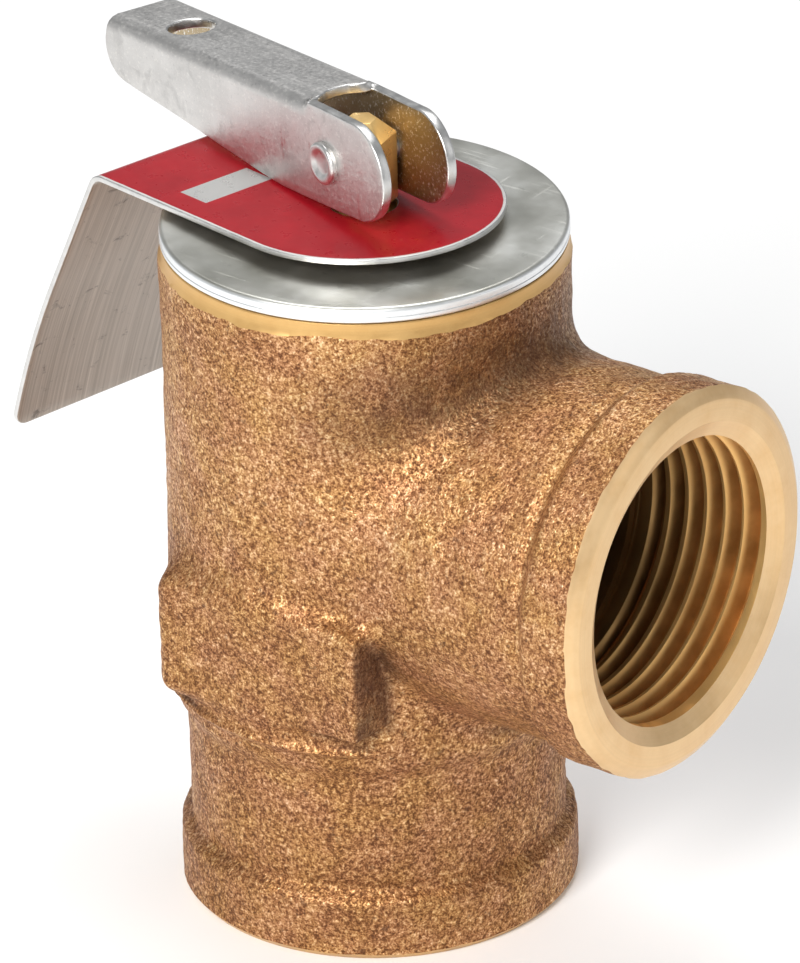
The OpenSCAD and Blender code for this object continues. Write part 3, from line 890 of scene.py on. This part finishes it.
def make_body():
    """The bronze casting with its machined faces, chamber, seat and pipe threads."""
    verts, quads, relief = casting_mesh(CAST_STEP)
    mats = [CAST, FACE_CUT, OUTLET_BORE, RIM_CUT, INLET_BORE]
    face_slot, bore_slot, rim_slot, inlet_slot = range(1, len(mats))
    body = new_piece("cast_body", verts, quads, "valve", "valve_body", mats)
    body.data.attributes.new(RELIEF, "FLOAT", "POINT").data.foreach_set("value", relief)
    # outlines of the cutting tools, as (radius, distance along the tool's axis)
    outlet_depth, inlet_depth = 13.5, 14
    bore_end = face_x - outlet_depth
    outlet_bore = [(0, 6), (11.2, 6), (11.2, bore_end), (port_r, bore_end), (port_r, face_x - 0.9),
                   (0, face_x - 0.9)]
    outlet_face = [(0, face_x - 1.0), (11.7, face_x - 1.0), (11.83, face_x - 0.85), (13.2, face_x - 0.07),
                   (13.3, face_x), (15.0, face_x), (15.12, face_x - 0.04), (15.95, face_x - 0.60),
                   (18.5, face_x - 3.6), (18.5, face_x + 2), (0, face_x + 2)]
    inlet_bore = [(0, -18), (10, -18), (10, -inlet_depth), (port_r, -inlet_depth), (port_r, -0.9), (0, -0.9)]
    inlet_face = [(0, -1.0), (11.7, -1.0), (11.83, -0.85), (13.2, -0.07), (13.3, 0), (15.6, 0), (15.7, -0.04),
                  (16.15, -0.6), (18.5, -3.5), (18.5, 2), (0, 2)]
    chamber = [(0, 13), (10, 14), (7, 17), (7, 24), (8.2, 24), (8.3, 23.9), (9, 22.8), (9.7, 20), (12.9, 20),
               (13.4, 20.5), (13.4, rim_z - 7), (14.35, rim_z - 7), (14.35, rim_z - 0.1), (0, rim_z - 0.1)]
    rim = [(0, rim_z - 0.12), (14.38, rim_z - 0.12), (14.5, rim_z), (16.17, rim_z), (16.25, rim_z - 0.08),
           (16.27, rim_z - 1.0), (16.9, rim_z - 2.1), (18.6, rim_z - 2.6), (18.6, rim_z + 3), (0, rim_z + 3)]
    turned = [(bore_slot, to_outlet, outlet_bore), (face_slot, to_outlet, outlet_face),
              (inlet_slot, to_inlet, inlet_bore), (rim_slot, to_inlet, inlet_face),
              (bore_slot, np.array, chamber), (rim_slot, np.array, rim)]
    solids = [(slot, turn, revolve(profile, FINE)) for slot, turn, profile in turned]
    solids += [(bore_slot, to_outlet, thread_tool(face_x, outlet_depth)),
               (inlet_slot, to_inlet, thread_tool(0, inlet_depth))]
    cut(body, [(slot, turn(verts), faces) for slot, turn, (verts, faces) in solids])
    smooth(body.data, 32)
    return body


def make_cap():
    """Plated cap: flat turned top, eased rim with a fine line round it, plain skirt below."""
    r, top, low = cap_high[0], cap_high[2], cap_low[2]
    rim = rim_z + 0.12
    bore, skirt_in, skirt_out, ceiling = 5.02, 12.6, 14.3, 55.6
    lower_ease, upper_ease = 0.18, 0.38
    profile = [(bore, ceiling), (skirt_in, ceiling), (skirt_in, low), (skirt_out, low), (skirt_out, rim),
               (r - lower_ease, rim)]
    profile += arc(r - lower_ease, rim + lower_ease, lower_ease, -90, 0, 4)
    profile += [(r, rim + 0.42), (r - 0.05, rim + 0.47), (r, rim + 0.52)]
    profile += arc(r - upper_ease, top - upper_ease, upper_ease, 0, 90, 8)
    profile += [(r - 1.3, top - 0.015), (9.5, top - 0.03), (9.35, top), (5.2, top), (bore, top - 0.18)]
    verts, faces = revolve_ring(profile, FINE)
    return new_piece("cap_turned", verts, faces, "valve", "spring_cap", [CAP])


def make_nut():
    """Hexagon lifting nut with a pointed, flat-faceted top and eased corners, bored across for the pin."""
    half, tip, foot = 4.76 / 2, 1.05, 2.2       # half widths across the flats
    low, top = nut_low[2] - pin_z, nut_high[2] - pin_z
    ang = np.radians(60 * np.arange(6))
    rings = [(foot, low), (half, low + 0.2), (half, top - (half - tip) * 0.95), (tip, top)]
    cos30 = math.cos(math.pi / 6)
    verts = [(r / cos30 * math.cos(a), r / cos30 * math.sin(a), z) for r, z in rings for a in ang]
    faces = [tuple(range(6))[::-1], tuple(range(18, 24))]
    faces += [(n * 6 + k, n * 6 + (k + 1) % 6, n * 6 + 6 + (k + 1) % 6, n * 6 + 6 + k)
              for n in range(3) for k in range(6)]
    nut = new_piece("hex_nut", verts, faces, "stem", "lifting_nut", [BRASS], nut_frame, 25)
    bm = bmesh.new()
    bm.from_mesh(nut.data)
    bmesh.ops.bevel(bm, geom=list(bm.edges), offset=0.05 * MM, segments=2, profile=0.5, affect="EDGES")
    bm.to_mesh(nut.data)
    bm.free()
    bore_r, reach = 1.25, 4
    bore, bore_faces = revolve([(0, -reach), (bore_r, -reach), (bore_r, reach), (0, reach)], 64)
    cut(nut, [(0, to_pin(bore), bore_faces)])
    smooth(nut.data, 40)
    return nut


def make_spring():
    """Compression spring with closed, ground ends, riding on the disc."""
    wire, turns, closed, ground = 1.9, 7, 0.8, 0.35
    sides, per_turn = 16, 48
    (_, _, low), (outer, _, high) = mm_box("spring")
    t = np.arange(turns * per_turn + 1) / per_turn
    end_pitch = wire * 1.06
    live = turns - 2 * closed
    climb = (high - low - wire - 2 * closed * end_pitch) / live
    z = low + wire / 2 + climb * np.clip(t - closed, 0, live)
    z = z + end_pitch * (np.minimum(t, closed) + np.clip(t - turns + closed, 0, closed))
    z = z - ground * (1 - ease(t, 0, closed)) + ground * (1 - ease(turns - t, 0, closed))
    ring = np.arange(sides) * TAU / sides
    r = outer - wire / 2 + wire / 2 * np.cos(ring)[None, :]
    height = np.clip(z[:, None] + wire / 2 * np.sin(ring)[None, :], low, high)
    turn = (t * TAU)[:, None]
    verts = np.stack([r * np.cos(turn), r * np.sin(turn), height], 2).reshape(-1, 3)
    last = (len(t) - 1) * sides
    faces = grid_faces(len(t), sides, wrap_columns=True)
    faces += [tuple(range(sides)), tuple(range(last + sides - 1, last - 1, -1))]
    coil = new_piece("spring_coil", verts, faces, "disc", "spring", [SPRING])
    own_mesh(coil)
    return coil


# lever: pressed channel, in its own frame: X along the handle, Y across (+Y is the marking pad's side), Z up
LEVER_T, LEVER_HALF, WEB_H, BEND_R = 0.85, 3.5, 4.6, 0.775
WEB_HALF = LEVER_HALF - LEVER_T / 2 - BEND_R
BEND_LEN = math.pi / 2 * BEND_R
WALL_TOP = WEB_H - LEVER_T / 2 - BEND_R


def lever_bend(l, s):
    """Flat pattern (along, across) to the bent channel; forward of the web the ears stay flat."""
    side, a = np.sign(s), np.abs(s)
    turn = np.clip((a - WEB_HALF) / BEND_R, 0, math.pi / 2)
    drop = np.clip(a - WEB_HALF - BEND_LEN, 0, None)
    y = np.minimum(a, WEB_HALF) + BEND_R * np.sin(turn)
    z = WALL_TOP + BEND_R * np.cos(turn) - drop
    flat_y = 0 * a + LEVER_HALF - LEVER_T / 2
    flat_z = WALL_TOP + BEND_LEN + WEB_HALF - a
    bent = ease(l, 2.0, 2.35 + 0.95 * ease(a, WEB_HALF, WEB_HALF + 0.6))
    y, z = flat_y + (y - flat_y) * bent, flat_z + (z - flat_z) * bent
    return np.stack([l, side * y, z], 1)


def wall_s(h):
    """Distance across the flat pattern of a point on the wall at height h."""
    return WEB_HALF + BEND_LEN + WALL_TOP - h


def mirrored(points):
    """The same edge on the other side of the flat pattern, in reverse order."""
    return [(l, -s) for l, s in points[::-1]]


def make_lever():
    """Lever: a channel of pressed sheet whose two ears take the pin, with a pull hole near its tip."""
    low_edge = [(-1.0, -3.82), (4.0, -3.78), (7.4, -3.70), (10.3, -3.38), (16.3, -2.56), (22.2, -1.72),
                (28.3, -0.95), (30.6, -0.62)]
    tip = arc(30.4, 2.1, 2.7, -76, 28, 13)

    def wall(side, top_drop, mid, r):
        """One side's outline across the flat pattern: front edge, round ear, lower edge and tip."""
        front_edge = [(2.2, 4.62 - top_drop), (0.0, 4.58 - top_drop), (-2.6, 4.47 - top_drop)]
        ear = arc(-4.4, mid, r, 98, 266, 28)
        return [(l, side * wall_s(h)) for l, h in front_edge + ear + low_edge + tip]

    near, far = wall(1, 0.0, 0.3, 4.1), wall(-1, 0.45, 0.05, 3.95)
    web_end = [(32.55, WEB_HALF + 0.4), (32.45, WEB_HALF - 0.3)]
    half_front = [(2.35, WEB_HALF - 0.06), (2.55, WEB_HALF - 0.5), (3.05, 1.0)]
    front = half_front + [(3.2, 0)] + mirrored(half_front)
    outline = near + web_end + mirrored(web_end) + far[::-1] + front[::-1]
    pull_x, ear_hole_r = 24.9, 1.23
    holes = [circle(pull_x, 0, pull_r, 48)]
    holes += [circle(0, side * wall_s(0), ear_hole_r, 32) for side in (1, -1)]

    def spacing(low, high):
        """Grid lines, closer together at the bends."""
        us = np.concatenate([np.arange(low[0], 1.6, 0.9), np.arange(1.6, 3.8, 0.2),
                             np.arange(4.2, high[0], 0.9)])
        step = BEND_LEN / 7
        bend = [WEB_HALF + k * step for k in range(-1, 9)]
        flat = list(np.arange(WEB_HALF + BEND_LEN + 0.9, high[1], 1.1))
        vs = np.array([0.0, 0.75, 1.5] + bend + flat)
        return us, np.concatenate([-vs[:0:-1], vs])

    low, high = np.min(outline, 0), np.max(outline, 0)
    verts, faces, kinds = sheet_mesh(outline, holes, spacing(low, high), lever_bend, LEVER_T, 0.14, 0.33)
    lever = new_piece("lever_channel", verts, faces, "lever", "lever",
                      [LEVER, LEVER_IN, EDGE], lever_frame, 60)
    lever.data.polygons.foreach_set("material_index", kinds)
    return lever


def make_pin():
    """Headed pin: shank across the ears, a rolled head with a raised ring, a peened far end."""
    half, shank_r = LEVER_HALF, 1.2
    profile = [(0, -half - 0.42), (0.9, -half - 0.40), (1.45, -half - 0.28), (1.75, -half - 0.06),
               (1.75, -half), (shank_r, -half), (shank_r, half), (1.72, half), (1.76, half + 0.25)]
    profile += arc(1.46, half + 0.25, 0.30, 0, 90, 6)
    profile += [(1.30, half + 0.54), (1.15, half + 0.49), (0.95, half + 0.34), (0.80, half + 0.28),
                (0, half + 0.26)]
    verts, faces = revolve(profile, 96)
    return new_piece("pin_rolled", to_pin(verts), faces, "lever", "lever_pin", [PIN],
                     lever_frame, 30)


def make_plate():
    """Nameplate: round end, fold and gently curved flap; red print outside, brushed metal inside."""
    r, corner, skew = PLATE_R, 1.3, 0.6
    outline = arc(0, 0, r, 90, 270, 45)
    outline += arc(PLATE_LEN - skew - corner, corner - r, corner, -90, 0, 6)
    outline += arc(PLATE_LEN - corner, r - corner, corner, 0, 90, 6)

    def bend(u, v):
        x, z = plate_line(u)
        return np.stack([x, v, z], 1)

    def spacing(low, high):
        """Grid lines, closest together at the fold."""
        us = np.concatenate([np.arange(low[0], FOLD_X - 0.5, 1.2),
                             np.arange(FOLD_X - 0.4, FOLD_X + 2.0, 0.16),
                             np.arange(FOLD_X + 2.6, high[0], 0.9)])
        return us, np.arange(-r, r, 1.1)

    low, high = np.min(outline, 0), np.max(outline, 0)
    holes = [circle(0, 0, STEM_HOLE_R, 48)]
    verts, faces, kinds = sheet_mesh(outline, holes, spacing(low, high), bend, PLATE_T, 0.08, 0.4)
    plate = new_piece("plate_sheet", verts, faces, "plate", "nameplate",
                      [PRINT, BARE, EDGE], plate_frame, 60)
    plate.data.polygons.foreach_set("material_index", kinds)
    return plate


CAST_STEP = 0.3
CAST, CAP = cast_bronze(), cap_metal()
FACE_CUT = cut_bronze("machined outlet", (0.82, 0.57, 0.305), 0.36, "X", outlet_z)
RIM_CUT = cut_bronze("machined rim", (0.66, 0.41, 0.155), 0.34, "Z")
OUTLET_BORE = oxidised_and_shaded_bore("outlet bore", "X", outlet_z)
INLET_BORE = oxidised_and_shaded_bore("inlet bore", "Z")
BRASS = cut_bronze("turned brass", (0.93, 0.64, 0.26), 0.30, "Z")
LEVER = plated_steel("lever plating", 0.71, (1.0, 0.98, 0.955), 0.38, 0.35)
# inside of the channel: a darker, warmer copy of the plating; painted shade for the underside and a painted
# reflection of the brass nut over the yellow plating
LEVER_IN = plated_steel("lever inside", 0.56, (1.0, 0.80, 0.50), 0.34, 1.0)
EDGE = plain_steel("sheared edge", (0.76, 0.755, 0.74), 0.34)
PRINT, BARE = printed_plate(), bare_plate()
PIN = plain_steel("satin pin", (0.76, 0.75, 0.735), 0.34)
STEEL = plain_steel("zinc plate", (0.60, 0.60, 0.57), 0.34)
SPRING = plain_steel("oiled spring steel", (0.30, 0.30, 0.31), 0.3)
SEAL = plain_matt("black rubber", (0.03, 0.03, 0.03), 0.55)
DISC = plain_matt("red silicone", (0.52, 0.14, 0.08), 0.5)
GASKET = plain_matt("gasket fibre", (0.10, 0.10, 0.09), 0.75)

for make in (make_body, make_cap, make_spring, make_nut, make_lever, make_pin, make_plate):
    make()

# CAD nodes that stay, by finish
CARRIED = [(GASKET, "cap_gasket"), (SEAL, "stem_seal"), (DISC, "seat_disc"), (SPRING, "stem_clip"),
           (BRASS, "guide_bushing disc_holder stem_retainer stem"),
           (STEEL, "seal_retainer calibration_shims upper_spring_seat lower_spring_seat"),
           (STEEL, "disc_washer disc_screw")]
for finish, nodes in CARRIED:
    for node in nodes.split():
        for s in frame["nodes"][node].material_slots:
            s.material = finish


# ---------------------------------------------------------------- stage, light and camera

def make_stage():
    """A pale matt floor, 5 m square."""
    w = 2500
    mesh = mm_mesh("floor", [(-w, -w, 0), (w, -w, 0), (w, w, 0), (-w, w, 0)], [(0, 1, 2, 3)])
    floor = add_object("floor", mesh)
    f = Finish("floor paint", Roughness=0.6, Specular_IOR_Level=0.15, Emission_Color=(1, 1, 1, 1),
               Emission_Strength=0.10)
    cloud = f.noise(300, 2, 0.5)
    f.set("Base Color", f.ramp(cloud, (0.3, (0.88, 0.88, 0.88)), (0.7, (0.90, 0.90, 0.90))))
    mesh.materials.append(f.material)


def direction(azimuth, elevation):
    """Unit vector towards a viewer: azimuth 0 stands on -Y, angles in degrees."""
    a, e = math.radians(azimuth), math.radians(elevation)
    return Vector((math.sin(a) * math.cos(e), -math.cos(a) * math.cos(e), math.sin(e)))


def softbox(name, azimuth, elevation, distance, size, power, colour=(1, 1, 1)):
    """A rectangular light aimed at the middle of the valve."""
    data = bpy.data.lights.new(name, "AREA")
    data.shape = "RECTANGLE"
    data.size, data.size_y = size
    data.energy = power
    data.color = colour
    light = add_object(name, data)
    back = direction(azimuth, elevation)
    light.location = Vector((0, 0, 0.035)) + back * distance
    light.rotation_mode = "QUATERNION"
    light.rotation_quaternion = (-back).to_track_quat("-Z", "Y")


def make_camera():
    """The photograph's view, from above and far off, turned slightly about its own axis."""
    azimuth, elevation, distance = 36.8, 27.26, 0.8636
    roll = math.radians(-1.405)
    to_right, target_z = 0.0023246, 0.034995
    back = direction(azimuth, elevation)
    right = direction(azimuth + 90, 0)
    up = back.cross(right)
    across = math.cos(roll) * right + math.sin(roll) * up
    above = -math.sin(roll) * right + math.cos(roll) * up
    target = right * to_right + Vector((0, 0, target_z))
    data = bpy.data.cameras.new("camera")
    data.sensor_width = 36
    data.lens = 402.5
    camera = add_object("camera", data)
    m = Matrix((across, above, back)).transposed().to_4x4()
    m.translation = target + back * distance
    camera.matrix_world = m
    bpy.context.scene.camera = camera


def make_world():
    """Even pale light from all round."""
    world = bpy.data.worlds.new("studio")
    world.use_nodes = True
    tree = world.node_tree
    background = tree.nodes["Background"]
    background.inputs["Color"].default_value = (0.86, 0.88, 0.90, 1)
    background.inputs["Strength"].default_value = 0.34
    bpy.context.scene.world = world


make_stage()
make_world()
softbox("key", 13, 36, 0.75, (0.33, 0.33), 6.0, (1, 0.985, 0.96))
softbox("right", 104, 24, 0.7, (0.30, 0.40), 0.3)
softbox("top", 215, 68, 0.8, (0.45, 0.45), 2.8)
softbox("left", -62, 20, 0.8, (0.25, 0.45), 0.2)
make_camera()
bpy.context.scene.view_settings.view_transform = "Standard"
